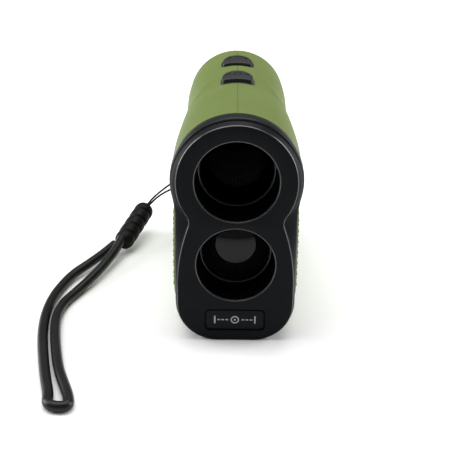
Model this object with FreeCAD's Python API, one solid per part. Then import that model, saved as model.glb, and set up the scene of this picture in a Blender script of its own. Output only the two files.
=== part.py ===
"""Handheld laser rangefinder, standing upright on its narrow underside.

Frame: +X is the object's right as seen from the front, the front face looks along -Y, +Z is up.
The origin is on the ground, under the middle of the casing. All lengths are in millimetres.
Depths are counted backwards from the front face and turned into Y by depth().
"""
import FreeCAD, Part
import math
import os

from FreeCAD import Vector

# Driving dimensions of the casing
LENGTH = 110.0          # front face to the eyecup's rim
WALL = 2.0
SHELL_FRONT = 9.2       # depth where the green shells start
SHELL_REAR = 98.0       # depth of the shells' rear face
GRIP_RISE = 1.1         # how far the side grips stand out of the shells
WAIST_HEIGHT = 42.8     # height of the narrow place between the two lobes
FOOT_HEIGHT = 20.0      # height below which the flanks are upright

# Optical axes, both parallel to Y, and the two recesses of the front face
UPPER_AXIS = 56.9
LOWER_AXIS = 28.0
UPPER_BORE = 13.45      # radius at the face
UPPER_THROAT = 12.9     # radius at the floor
LOWER_BORE = 12.85
LOWER_THROAT = 12.1
BORE_DEPTH = 11.0

# Lenses: radius, depths of the edge's front and rear, heights of the front and rear domes
OBJECTIVE_LENS = (12.86, 12.6, 15.8, 1.6, 0.8)
RECEIVER_LENS = (12.06, 12.4, 14.6, 3.0, 0.6)
FIELD_LENS = (8.58, 85.6, 87.6, 0.4, 0.9)
EYE_LENS = (8.88, 99.0, 101.4, 0.9, 0.8)
OBJECTIVE_RING_REAR = 12.38
RECEIVER_RING_REAR = 12.0
OBJECTIVE_SEAT = 15.92
RECEIVER_SEAT = 14.8

# Eyepiece
EYE_TUBE_RADIUS = 12.0
EYE_TUBE_BORE = 10.4
EYE_STOP_RADIUS = 9.6   # front part of the tube, under the key board
EYECUP_RADIUS = 13.4
EYE_TRAVEL_GAP = 0.06   # radial running clearance

# Battery, a CR2 cell, and its screw cap
BATTERY_RADIUS = 7.75
BATTERY_LENGTH = 27.0
BATTERY_AXIS = 22.0
BATTERY_TUBE_BORE = 8.1
BATTERY_TUBE_RADIUS = 9.6
BATTERY_FRONT = 63.0
CAP_RADIUS = 10.6

# Keys
KEY_WIDTH = 11.4
KEY_LENGTH = 10.8
KEY_TOP = 76.5          # height of the keys' crowns
KEY_CROWN = 20.0        # radius of the keys' crowned tops
KEY_TRAVEL = 0.8
KEY_SWITCH_TOP = 69.4
KEY_CORNER = 1.4
MODE_KEY_DEPTH = 55.2
MEASURE_KEY_DEPTH = 76.4
KEY_GAP = 0.3

# Tripod thread, 1/4 inch with 20 turns to the inch
TRIPOD_DEPTH = 44.0
TRIPOD_MINOR_RADIUS = 2.55
TRIPOD_THREAD_LENGTH = 6.5

# Screws that hold the two shells together: depth and height of each
SHELL_SCREWS = [(22.0, 8.5), (40.0, 39.0), (84.0, 7.5), (91.0, 37.0)]

# Screws that hold the main board to the chassis: depth and height of each
BOARD_SCREWS = [(46.5, 16.0), (57.5, 16.0), (46.5, 40.0), (57.5, 40.0)]

# Wrist strap
LUG = Vector(-20.4, 90.0, 22.0)     # x, depth, z of the lug pin's middle
LUG_PIN_RADIUS = 0.8
LUG_EAR_HALF = 1.9      # half the height of each ear
STRING_DIAMETER = 0.8
CORD_DIAMETER = 3.5
SLEEVE_RADIUS = 3.9
SLEEVE_TOP = Vector(-36.7, 88.3, 10.2)
SLEEVE_FOOT = Vector(-44.6, 65.2, 4.2)


def depth(value):
    """Y coordinate of a depth behind the front face."""
    return value - LENGTH / 2


def place(point):
    """Point given as x, depth, z, in the object's frame."""
    return Vector(point.x, depth(point.y), point.z)


# ---------------------------------------------------------------- basic shapes

def rod(radius, start, end, x=0.0, z=0.0):
    """Cylinder along Y between two depths."""
    return Part.makeCylinder(radius, end - start, Vector(x, depth(start), z), Vector(0, 1, 0))


def taper(front_radius, rear_radius, start, end, x=0.0, z=0.0):
    """Cone along Y between two depths."""
    base = Vector(x, depth(start), z)
    return Part.makeCone(front_radius, rear_radius, end - start, base, Vector(0, 1, 0))


def tube(outer, inner, start, end, z):
    """Pipe along Y between two depths."""
    return rod(outer, start, end, z=z).cut(rod(inner, start - 1, end + 1, z=z))


def cross_rod(radius, x_start, x_end, at_depth, z):
    """Cylinder along X."""
    return Part.makeCylinder(radius, x_end - x_start, Vector(x_start, depth(at_depth), z), Vector(1, 0, 0))


def post(radius, z_start, z_end, x, at_depth):
    """Cylinder along Z."""
    return Part.makeCylinder(radius, z_end - z_start, Vector(x, depth(at_depth), z_start))


def block(x_range, depth_range, z_range):
    """Box between pairs of x, depth and z."""
    size = [pair[1] - pair[0] for pair in (x_range, depth_range, z_range)]
    return Part.makeBox(*size, Vector(x_range[0], depth(depth_range[0]), z_range[0]))


def rounded_block(x_range, depth_range, z_range, radius, axis):
    """Box whose four edges along one axis are rounded."""
    box = block(x_range, depth_range, z_range)
    edges = [edge for edge in box.Edges if abs(edge.tangentAt(edge.FirstParameter).dot(axis)) > 0.99]
    return box.makeFillet(radius, edges)


def lens(radius, edge_start, edge_end, front_bulge, rear_bulge, z):
    """Glass disc whose front and rear are parts of spheres."""
    front_vertex = edge_start - front_bulge
    rear_vertex = edge_end + rear_bulge
    front_ball = (radius ** 2 + front_bulge ** 2) / (2 * front_bulge)
    rear_ball = (radius ** 2 + rear_bulge ** 2) / (2 * rear_bulge)
    disc = rod(radius, front_vertex - 0.1, rear_vertex + 0.1, z=z)
    disc = disc.common(Part.makeSphere(front_ball, Vector(0, depth(front_vertex + front_ball), z)))
    return disc.common(Part.makeSphere(rear_ball, Vector(0, depth(rear_vertex - rear_ball), z)))


# ---------------------------------------------------------------- casing outline

def outline(at_depth, lobe, top, waist, foot, corner=13.2, base=0.0):
    """Closed figure-of-eight wire: a round upper lobe, a waist and an upright lower part.

    The flank is an upper circle, a hollow arc at the waist and a slack lower arc, each tangent to
    the next, then an upright line and the bottom corner.
    """
    y = depth(at_depth)
    centre = top - lobe
    rise = centre - WAIST_HEIGHT
    hollow = (waist ** 2 + rise ** 2 - lobe ** 2) / (2 * (lobe - waist))
    hollow_x = waist + hollow
    drop = WAIST_HEIGHT - FOOT_HEIGHT
    offset = hollow_x - foot
    slack = (offset ** 2 + drop ** 2 - hollow ** 2) / (2 * (hollow - offset))
    slack_x = foot - slack

    upper_share = lobe / (lobe + hollow)
    upper_join = (hollow_x * upper_share, centre - rise * upper_share)
    lower_share = slack / (slack + hollow)
    lower_join = (slack_x + (hollow_x - slack_x) * lower_share, FOOT_HEIGHT + drop * lower_share)
    turn = math.atan2(lower_join[1] - FOOT_HEIGHT, lower_join[0] - slack_x) / 2
    slack_middle = (slack_x + slack * math.cos(turn), FOOT_HEIGHT + slack * math.sin(turn))
    round_x = foot - corner * (1 - math.sqrt(0.5))
    round_z = base + corner * (1 - math.sqrt(0.5))

    def right(pair):
        return Vector(pair[0], y, pair[1])

    def left(pair):
        return Vector(-pair[0], y, pair[1])

    flat = (foot - corner, base)
    edges = [Part.LineSegment(left(flat), right(flat))]
    heel = (foot, base + corner)
    hip = (foot, FOOT_HEIGHT)
    edges.append(Part.Arc(right(flat), right((round_x, round_z)), right(heel)))
    edges.append(Part.LineSegment(right(heel), right(hip)))
    edges.append(Part.Arc(right(hip), right(slack_middle), right(lower_join)))
    edges.append(Part.Arc(right(lower_join), right((waist, WAIST_HEIGHT)), right(upper_join)))
    edges.append(Part.Arc(right(upper_join), Vector(0, y, top), left(upper_join)))
    edges.append(Part.Arc(left(upper_join), left((waist, WAIST_HEIGHT)), left(lower_join)))
    edges.append(Part.Arc(left(lower_join), left(slack_middle), left(hip)))
    edges.append(Part.LineSegment(left(hip), left(heel)))
    edges.append(Part.Arc(left(heel), left((round_x, round_z)), left(flat)))
    return Part.Wire([edge.toShape() for edge in edges])


# Sections of the green casing: depth, upper lobe radius, top height, waist and foot half widths
SECTIONS = [
    (SHELL_FRONT, 21.3, 76.9, 19.9, 20.0),
    (24.0, 21.1, 77.0, 19.8, 20.0),
    (40.0, 20.0, 76.4, 19.0, 19.8),
    (50.0, 19.0, 75.0, 18.2, 19.4),
    (64.0, 18.6, 74.9, 17.8, 19.0),
    (82.0, 18.8, 75.3, 17.9, 19.0),
    (91.0, 18.4, 75.0, 17.5, 18.6),
    (96.0, 17.4, 73.4, 16.5, 17.6),
    (SHELL_REAR, 16.4, 72.0, 15.5, 16.6),
]


def casing_solid(inset, sections):
    """Solid through the casing's sections, shrunk by an inset (negative to grow it)."""
    wires = [
        outline(at, lobe - inset, top - inset, waist - inset, foot - inset, 13.2 - inset, max(inset, 0.0))
        for at, lobe, top, waist, foot in sections
    ]
    return Part.makeLoft(wires, True, True)


def straight_outline(start, end, lobe, top, waist, foot, corner=13.2, base=0.0):
    """One outline carried straight back from a start depth to an end depth."""
    face = Part.Face(outline(start, lobe, top, waist, foot, corner, base))
    return face.extrude(Vector(0, end - start, 0))


def collar_sizes(inset):
    """Outline sizes of the front collar, shrunk by an inset."""
    return (21.5 - inset, 77.1 - inset, 19.95 - inset, 20.0 - inset, 13.2 - inset, inset)


# ---------------------------------------------------------------- casing pieces

def key_prism(grow, z_start, z_end, at_depth):
    """Upright prism with a key's outline, grown all round: straight in front, half round behind."""
    half = KEY_WIDTH / 2 + grow
    front = depth(at_depth - KEY_LENGTH / 2) - grow
    round_start = depth(at_depth + KEY_LENGTH / 2) - KEY_WIDTH / 2
    corner = KEY_CORNER + grow
    nip = corner * (1 - math.sqrt(0.5))

    def spot(x, y):
        return Vector(x, y, z_start)

    edges = [
        Part.LineSegment(spot(corner - half, front), spot(half - corner, front)),
        Part.Arc(spot(half - corner, front), spot(half - nip, front + nip), spot(half, front + corner)),
        Part.LineSegment(spot(half, front + corner), spot(half, round_start)),
        Part.Arc(spot(half, round_start), spot(0, round_start + half), spot(-half, round_start)),
        Part.LineSegment(spot(-half, round_start), spot(-half, front + corner)),
        Part.Arc(spot(-half, front + corner), spot(nip - half, front + nip), spot(corner - half, front)),
    ]
    face = Part.Face(Part.Wire([edge.toShape() for edge in edges]))
    return face.extrude(Vector(0, 0, z_end - z_start))


def grip_region():
    """Space that both side grips fill: a skin over the casing between two depths."""
    skin = casing_solid(-GRIP_RISE, SECTIONS[:7]).cut(casing_solid(0.8, SECTIONS[:7]))
    return skin.common(rounded_block((-30, 30), (12.0, 76.0), (5.0, 43.0), 5.0, Vector(1, 0, 0)))


def lug_ears():
    """Two ears on the left flank that carry the strap pin."""
    ears = []
    for offset in (-3.6, 2.4):
        depth_range = (LUG.y + offset, LUG.y + offset + 1.2)
        ears.append(block((-21.4, -16.4), depth_range, (LUG.z - LUG_EAR_HALF, LUG.z + LUG_EAR_HALF)))
    return ears


def shells():
    """Left and right halves, hollow, with bosses for the screws and openings for everything in them."""
    outer = casing_solid(0.0, SECTIONS)
    inner_sections = SECTIONS[:-2] + [(SHELL_REAR - WALL,) + SECTIONS[-2][1:]]
    body = outer.cut(casing_solid(WALL, inner_sections))
    for at_depth, z in SHELL_SCREWS:
        body = body.fuse(cross_rod(3.0, -25, 25, at_depth, z).common(outer))
    for ear in lug_ears():
        body = body.fuse(ear)
    cutters = [grip_region()]
    cutters.append(block((-25, -17.7), (LUG.y - 2.4, LUG.y + 2.4), (LUG.z - 3.6, LUG.z + 3.6)))
    cutters.append(rod(EYE_TUBE_RADIUS, 90, 100, z=UPPER_AXIS))
    cutters.append(rod(BATTERY_TUBE_RADIUS, 90, 100, z=BATTERY_AXIS))
    cutters.append(key_prism(KEY_GAP, 70, 80, MODE_KEY_DEPTH))
    cutters.append(key_prism(KEY_GAP, 70, 80, MEASURE_KEY_DEPTH))
    cutters.append(post(5.0, -1, 3, 0, TRIPOD_DEPTH))
    cutters.append(rod(LUG_PIN_RADIUS, LUG.y - 3.6, LUG.y + 3.6, x=LUG.x, z=LUG.z))
    for at_depth, z in SHELL_SCREWS:
        cutters.append(cross_rod(0.9, -9, 1, at_depth, z))
        cutters.append(cross_rod(1.15, -1, 6, at_depth, z))
        cutters.append(cross_rod(2.1, 5, 25, at_depth, z))
    for cutter in cutters:
        body = body.cut(cutter)
    left = body.common(block((-30, 0), (0, 105), (-5, 85)))
    right = body.common(block((0, 30), (0, 105), (-5, 85)))
    return left, right


def grips():
    """Side pads, let into the flanks."""
    pads = grip_region()
    left = pads.common(block((-30, 0), (0, 105), (-5, 85)))
    right = pads.common(block((0, 30), (0, 105), (-5, 85)))
    return left, right


def shell_screws():
    """Four countersunk-seat screws, put in from the right."""
    screws = []
    for at_depth, z in SHELL_SCREWS:
        screw = cross_rod(0.9, -8, 5, at_depth, z).fuse(cross_rod(1.9, 5, 6.5, at_depth, z))
        slot = cross_rod(0.7, 5.8, 7, at_depth, z)
        screws.append(screw.cut(slot))
    return Part.makeCompound(screws)


def front_bezel():
    """Black front plate: figure-of-eight face, sloping edge, gap, and a spigot into the shells."""
    face = outline(0.0, 19.5, 75.8, 15.35, 19.2, 13.2)
    shoulder = outline(2.4, 20.8, 76.5, 19.2, 19.8, 13.2)
    plate = Part.makeLoft([face, shoulder], True, True)
    neck = straight_outline(2.4, 3.6, 19.6, 75.3, 18.0, 18.6, 12.0, 1.2)
    spigot = straight_outline(3.6, BORE_DEPTH, 19.0, 74.5, 17.5, 17.7, 11.0, 2.3)
    body = plate.fuse(neck).fuse(spigot)
    body = body.cut(taper(UPPER_BORE, UPPER_THROAT, 0.0, BORE_DEPTH, z=UPPER_AXIS))
    body = body.cut(taper(LOWER_BORE, LOWER_THROAT, 0.0, BORE_DEPTH, z=LOWER_AXIS))
    recess = rounded_block((-10.0, 10.0), (-1.0, 1.1), (3.8, 11.6), 1.6, Vector(0, 1, 0))
    return body.cut(recess)


def front_collar():
    """Rounded band between the bezel and the shells."""
    wires = []
    for at_depth, inset in ((3.6, 0.9), (4.8, 0.0), (8.0, 0.0), (SHELL_FRONT, 0.4)):
        wires.append(outline(at_depth, *collar_sizes(inset)))
    band = Part.makeLoft(wires, True, True)
    return band.cut(straight_outline(3.0, 10.0, 19.0, 74.5, 17.5, 17.7, 11.0, 2.3))


def label_plate():
    """Small plate bonded into the recess under the lower lens."""
    return rounded_block((-9.7, 9.7), (0.3, 1.1), (4.1, 11.3), 1.4, Vector(0, 1, 0))


# ---------------------------------------------------------------- optics

def objective_cell():
    """Upper lens tube, with a seat for the lens and a baffle behind it."""
    body = rod(14.6, BORE_DEPTH, 34, z=UPPER_AXIS)
    body = body.cut(rod(UPPER_THROAT, BORE_DEPTH - 1, OBJECTIVE_SEAT, z=UPPER_AXIS))
    body = body.cut(rod(11.9, 15, 24, z=UPPER_AXIS))
    return body.cut(taper(10.8, 9.6, 24, 34, z=UPPER_AXIS))


def receiver_cell():
    """Lower lens tube, narrowing towards the detector."""
    body = rod(13.3, BORE_DEPTH, 18, z=LOWER_AXIS).fuse(taper(13.3, 8.4, 18, 33, z=LOWER_AXIS))
    body = body.cut(rod(LOWER_THROAT, BORE_DEPTH - 1, RECEIVER_SEAT, z=LOWER_AXIS))
    body = body.cut(rod(11.2, 14, 17, z=LOWER_AXIS))
    return body.cut(taper(11.2, 6.6, 17, 33, z=LOWER_AXIS))


def retaining_ring(outer, inner, start, end, z, notch_angle):
    """Threaded ring that holds a lens, with one spanner notch in its front."""
    ring = tube(outer, inner, start, end, z)
    turn = math.radians(notch_angle)
    reach = (outer + inner) / 2
    x = reach * math.cos(turn)
    height = z + reach * math.sin(turn)
    notch = block((x - 0.9, x + 0.9), (start - 0.5, start + 0.8), (height - 1.2, height + 1.2))
    return ring.cut(notch)


def detector():
    """Light detector in a round can on its own small board."""
    can = rod(6.5, 33, 35.2, z=LOWER_AXIS)
    board = rod(8.2, 35.2, 36.4, z=LOWER_AXIS)
    return can.fuse(board)


def laser_module():
    """Laser diode barrel, standing under the beam splitter."""
    return post(4.4, 34.5, 46.4, 0, 50).fuse(post(5.4, 37.0, 40.0, 0, 50))


def prism_holder():
    """Open-topped cradle round the two prisms."""
    body = block((-11.5, 11.5), (44, 77), (45, 66.6))
    body = body.cut(block((-9.0, 9.0), (46, 75), (48.2, 70)))
    body = body.cut(rod(8.4, 40, 80, z=UPPER_AXIS))
    return body.cut(post(4.4, 44, 48, 0, 50))


def prism(profile):
    """Glass block: a profile of depth and height pairs, carried across the holder."""
    corners = [Vector(-8.8, depth(at), z) for at, z in profile]
    face = Part.Face(Part.makePolygon(corners + corners[:1]))
    return face.extrude(Vector(17.6, 0, 0))


def display():
    """Transparent display with its two glass plates and frame."""
    return rod(9.0, 80.0, 81.6, z=UPPER_AXIS)


def eyepiece_tube():
    """Fixed tube that the diopter ring turns on and the lens carrier slides in.

    Its slim front part holds the display and passes under the key board.
    """
    barrel = tube(EYE_TUBE_RADIUS, EYE_TUBE_BORE, 83.0, 104.0, UPPER_AXIS)
    step = tube(EYE_TUBE_RADIUS, 8.6, 83.0, 83.9, UPPER_AXIS)
    stop = tube(EYE_STOP_RADIUS, 8.6, 79.0, 83.0, UPPER_AXIS)
    seat = rod(9.0, 80.0, 81.6, z=UPPER_AXIS)
    return barrel.fuse(step).fuse(stop).cut(seat)


def lens_carrier():
    """Sliding tube that holds the two eyepiece lenses."""
    body = rod(EYE_TUBE_BORE - EYE_TRAVEL_GAP, 85.0, 104.6, z=UPPER_AXIS)
    body = body.cut(rod(8.6, 84.0, 88.6, z=UPPER_AXIS))
    body = body.cut(rod(8.0, 88.0, 99.0, z=UPPER_AXIS))
    return body.cut(rod(8.9, 98.5, 105.0, z=UPPER_AXIS))


def diopter_ring():
    """Ribbed ring that turns on the fixed tube and drives the lens carrier."""
    ring = tube(13.2, EYE_TUBE_RADIUS + EYE_TRAVEL_GAP, 98.3, 104.0, UPPER_AXIS)
    for index in range(24):
        turn = math.radians(index * 15)
        x = 13.5 * math.cos(turn)
        z = UPPER_AXIS + 13.5 * math.sin(turn)
        ring = ring.cut(rod(0.6, 99.2, 103.2, x=x, z=z))
    return ring


def eyecup():
    """Soft cup pushed onto the rear of the diopter ring."""
    cup = rod(13.2, 104.0, 106.0, z=UPPER_AXIS)
    cup = cup.fuse(taper(13.2, EYECUP_RADIUS, 106.0, LENGTH, z=UPPER_AXIS))
    cup = cup.cut(rod(10.9, 103.0, 107.0, z=UPPER_AXIS))
    return cup.cut(taper(10.9, 12.0, 106.9, LENGTH + 0.1, z=UPPER_AXIS))


# ---------------------------------------------------------------- electronics and frame

def chassis():
    """Optical bench: a shelf between the tubes, a side flange for the board, and saddles."""
    shelf = block((-12, 12), (34, 95), (43, 45))
    flange = block((11.8, 13.0), (44, 60), (13, 43.2))
    front_lug = block((-8, 8), (34, 36), (43, 50)).cut(rod(9.6, 30, 40, z=UPPER_AXIS))
    saddle = block((-8, 8), (84, 92), (45, 50))
    hanger = block((-4, 4), (64, 80), (30, 43)).cut(rod(BATTERY_TUBE_RADIUS, 60, 85, z=BATTERY_AXIS))
    body = shelf.fuse(flange).fuse(front_lug).fuse(saddle).fuse(hanger)
    body = body.cut(rod(EYE_TUBE_RADIUS, 78, 96, z=UPPER_AXIS))
    body = body.cut(post(4.4, 40, 48, 0, 50))
    for at_depth, z in BOARD_SCREWS:
        body = body.cut(cross_rod(0.8, 11, 13.5, at_depth, z))
    return body


def main_board():
    """Upright circuit board with its chips on the outer side."""
    board = block((13.0, 14.2), (44, 76), (13, 43))
    for at_depth, z, length, height, lift in (
        (48, 24, 8, 8, 1.2), (62, 30, 7, 9, 1.4), (62, 18, 10, 6, 1.0), (50, 37, 5, 4, 1.6),
    ):
        board = board.fuse(block((14.2, 14.2 + lift), (at_depth, at_depth + length), (z, z + height)))
    for at_depth, z in BOARD_SCREWS:
        board = board.cut(cross_rod(0.85, 12, 16, at_depth, z))
    return board


def board_screws():
    screws = []
    for at_depth, z in BOARD_SCREWS:
        screws.append(cross_rod(0.8, 11.8, 14.2, at_depth, z).fuse(cross_rod(1.5, 14.2, 15.2, at_depth, z)))
    return Part.makeCompound(screws)


def key_board():
    """Flat circuit board under the keys."""
    return block((-7.5, 7.5), (47, 82.6), (66.6, 67.6))


def key_switch(at_depth):
    """Square tactile switch with a round plunger."""
    body = block((-3, 3), (at_depth - 3, at_depth + 3), (67.6, 69.0))
    return body.fuse(post(1.6, 69.0, KEY_SWITCH_TOP, 0, at_depth))


def flex_cable():
    """Flat ribbon from the key board down to the main board."""
    top_run = block((7.5, 11.9), (60, 66), (67.3, 67.6))
    upper_drop = block((11.6, 11.9), (60, 66), (45.1, 67.6))
    step = block((11.6, 14.0), (60, 66), (45.1, 45.4))
    lower_drop = block((13.7, 14.0), (60, 66), (43.0, 45.4))
    return top_run.fuse(upper_drop).fuse(step).fuse(lower_drop)


def key_gasket():
    """Soft frame between the keys and the key board, keeping water out."""
    frame = rounded_block((-9.0, 9.0), (46, 86), (69.3, 69.7), 3.0, Vector(0, 0, 1))
    for at_depth in (MODE_KEY_DEPTH, MEASURE_KEY_DEPTH):
        frame = frame.cut(post(3.4, 69, 71, 0, at_depth))
    return frame


def key(at_depth):
    """Domed key with a retaining flange under the shell and a stem over its switch."""
    head = key_prism(0.0, 70.6, KEY_TOP + 1, at_depth)
    crown = rod(KEY_CROWN, at_depth - KEY_LENGTH, at_depth + KEY_LENGTH, z=KEY_TOP - KEY_CROWN)
    head = head.common(crown)
    flange = key_prism(0.9, 70.6, 71.3, at_depth)
    stem = post(2.6, KEY_SWITCH_TOP + KEY_TRAVEL + 0.05, 70.6, 0, at_depth)
    return head.fuse(flange).fuse(stem)


# ---------------------------------------------------------------- power

def battery():
    """CR2 cell with its raised positive end towards the front."""
    cell = rod(BATTERY_RADIUS, BATTERY_FRONT + 0.8, BATTERY_FRONT + BATTERY_LENGTH, z=BATTERY_AXIS)
    return cell.fuse(rod(3.0, BATTERY_FRONT, BATTERY_FRONT + 0.8, z=BATTERY_AXIS))


def battery_tube():
    """Battery compartment, closed in front, open to the cap."""
    outer = rod(BATTERY_TUBE_RADIUS, BATTERY_FRONT - 3, SHELL_REAR, z=BATTERY_AXIS)
    return outer.cut(rod(BATTERY_TUBE_BORE, BATTERY_FRONT - 1.5, SHELL_REAR + 1, z=BATTERY_AXIS))


def front_contact():
    """Spring leaf that touches the cell's positive end."""
    plate = rod(6.0, BATTERY_FRONT - 1.5, BATTERY_FRONT - 1.0, z=BATTERY_AXIS)
    return plate.fuse(taper(4.0, 2.4, BATTERY_FRONT - 1.0, BATTERY_FRONT, z=BATTERY_AXIS))


def battery_cap():
    """Screw cap with a coin slot and a groove for its seal."""
    start = BATTERY_FRONT + BATTERY_LENGTH + 0.9
    head = SHELL_REAR + 0.3
    rim = SHELL_REAR + 2.6
    end = SHELL_REAR + 3.4
    cap = rod(BATTERY_TUBE_BORE - EYE_TRAVEL_GAP, start, head, z=BATTERY_AXIS)
    cap = cap.fuse(rod(CAP_RADIUS, head, rim, z=BATTERY_AXIS))
    cap = cap.fuse(taper(CAP_RADIUS, CAP_RADIUS - 0.8, rim, end, z=BATTERY_AXIS))
    cap = cap.cut(tube(12.0, 6.5, 95.4, 97.2, BATTERY_AXIS))
    cap = cap.cut(block((-8.0, 8.0), (end - 1.5, end + 1), (BATTERY_AXIS - 0.9, BATTERY_AXIS + 0.9)))
    for index in range(20):
        turn = math.radians(index * 18)
        x = (CAP_RADIUS + 0.25) * math.cos(turn)
        z = BATTERY_AXIS + (CAP_RADIUS + 0.25) * math.sin(turn)
        cap = cap.cut(rod(0.6, SHELL_REAR, SHELL_REAR + 3.5, x=x, z=z))
    return cap


def cap_seal():
    """O-ring in the cap's groove."""
    middle = Vector(0, depth(96.3), BATTERY_AXIS)
    return Part.makeTorus(7.28, 0.72, middle, Vector(0, 1, 0))


def cap_contact():
    """Brass disc on the cap that touches the cell's negative end."""
    rear = BATTERY_FRONT + BATTERY_LENGTH
    return rod(5.0, rear + 0.4, rear + 0.9, z=BATTERY_AXIS)


# ---------------------------------------------------------------- fixings

def tripod_insert():
    """Threaded brass insert, let into the floor of the shells, with a collar inside."""
    body = post(5.0, 0.0, 8.0, 0, TRIPOD_DEPTH).fuse(post(7.0, 2.0, 3.6, 0, TRIPOD_DEPTH))
    return body.cut(post(TRIPOD_MINOR_RADIUS, -1, TRIPOD_THREAD_LENGTH, 0, TRIPOD_DEPTH))


def strap_pin():
    """Steel pin between the two ears of the strap lug."""
    return rod(LUG_PIN_RADIUS, LUG.y - 3.6, LUG.y + 3.6, x=LUG.x, z=LUG.z)


# ---------------------------------------------------------------- wrist strap

def cord_path(points):
    """Wire through a route, of straight runs joined by tangent arcs, and the arcs' radii."""
    edges = []
    radii = []
    here = points[0]
    for before, corner, after in zip(points, points[1:], points[2:]):
        back = (before - corner).normalize()
        ahead = (after - corner).normalize()
        half_turn = (math.pi - back.getAngle(ahead)) / 2
        shorter = min(before.distanceToPoint(corner), after.distanceToPoint(corner))
        reach = 0.45 * shorter
        radius = reach / math.tan(half_turn)
        start = corner + back * reach
        end = corner + ahead * reach
        bisector = (back + ahead).normalize()
        middle = corner + bisector * (radius / math.cos(half_turn) - radius)
        edges.append(Part.LineSegment(here, start).toShape())
        edges.append(Part.Arc(start, middle, end).toShape())
        radii.append(radius)
        here = end
    edges.append(Part.LineSegment(here, points[-1]).toShape())
    return Part.Wire(edges), radii


def cord_tube(name, points, diameter):
    """Round cord along a route, with its length, volume and bend radii printed."""
    wire, radii = cord_path([place(point) for point in points])
    first_run = place(points[1]) - place(points[0])
    profile = Part.Wire([Part.makeCircle(diameter / 2, place(points[0]), first_run)])
    solid = wire.makePipeShell([profile], True, False)
    expected = math.pi * diameter ** 2 / 4 * wire.Length
    print(name, "length %.1f" % wire.Length, "volume %.1f of %.1f" % (solid.Volume, expected))
    print("  radii in diameters", " ".join("%.1f" % (radius / diameter) for radius in radii))
    return solid


# Route of the thin string, as x, depth, z: out of the sleeve, over the pin, round it and back
STRING_ROUTE = [
    Vector(-36.4, 88.9, 10.9),
    Vector(-34.6, 90.2, 12.9),
    Vector(-32.2, 90.4, 15.3),
    Vector(-28.6, 90.5, 18.3),
    Vector(-24.2, 90.4, 21.8),
    Vector(-21.6, 90.2, 23.4),
    Vector(-19.8, 90.0, 23.6),
    Vector(-18.8, 89.9, 22.2),
    Vector(-19.5, 89.7, 20.6),
    Vector(-21.8, 89.6, 20.1),
    Vector(-26.6, 89.3, 17.9),
    Vector(-31.0, 89.2, 15.4),
    Vector(-34.2, 89.0, 12.4),
    Vector(-36.8, 87.8, 9.9),
]

# Route of the wrist loop: out of the sleeve's foot, round the far end on the ground and back
LOOP_ROUTE = [
    Vector(-47.6, 66.3, 3.6),
    Vector(-50.0, 61.1, 3.3),
    Vector(-51.8, 57.4, 3.1),
    Vector(-56.2, 49.2, 2.8),
    Vector(-60.7, 42.5, 2.2),
    Vector(-63.6, 33.5, 1.8),
    Vector(-65.3, 24.7, 1.77),
    Vector(-65.8, 13.3, 1.77),
    Vector(-64.8, 1.6, 1.77),
    Vector(-63.0, -8.6, 1.77),
    Vector(-60.8, -19.0, 1.77),
    Vector(-58.7, -28.0, 1.77),
    Vector(-56.5, -35.9, 1.77),
    Vector(-55.9, -42.3, 1.77),
    Vector(-49.4, -42.9, 1.77),
    Vector(-50.1, -37.5, 1.77),
    Vector(-52.6, -30.5, 1.77),
    Vector(-55.3, -23.1, 1.77),
    Vector(-57.6, -13.8, 1.77),
    Vector(-59.8, -3.1, 1.77),
    Vector(-61.3, 6.4, 1.77),
    Vector(-61.7, 14.4, 1.77),
    Vector(-60.6, 21.7, 1.77),
    Vector(-58.0, 28.0, 1.85),
    Vector(-54.4, 35.8, 2.5),
    Vector(-51.1, 43.6, 3.3),
    Vector(-48.2, 51.3, 4.3),
    Vector(-45.8, 59.2, 5.4),
    Vector(-44.6, 65.7, 6.4),
]


def strap_sleeve():
    """Ribbed rubber sleeve over the joint between the string and the wrist loop."""
    foot = place(SLEEVE_FOOT)
    top = place(SLEEVE_TOP)
    axis = top - foot
    length = axis.Length
    axis.normalize()
    core = Part.makeCylinder(SLEEVE_RADIUS - 0.5, length, foot, axis)
    ribs = 5
    for index in range(ribs):
        pitch = length / ribs
        start = foot + axis * (pitch * index + 0.5)
        core = core.fuse(Part.makeCylinder(SLEEVE_RADIUS, pitch - 1.0, start, axis))
    return core


# ---------------------------------------------------------------- output

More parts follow.
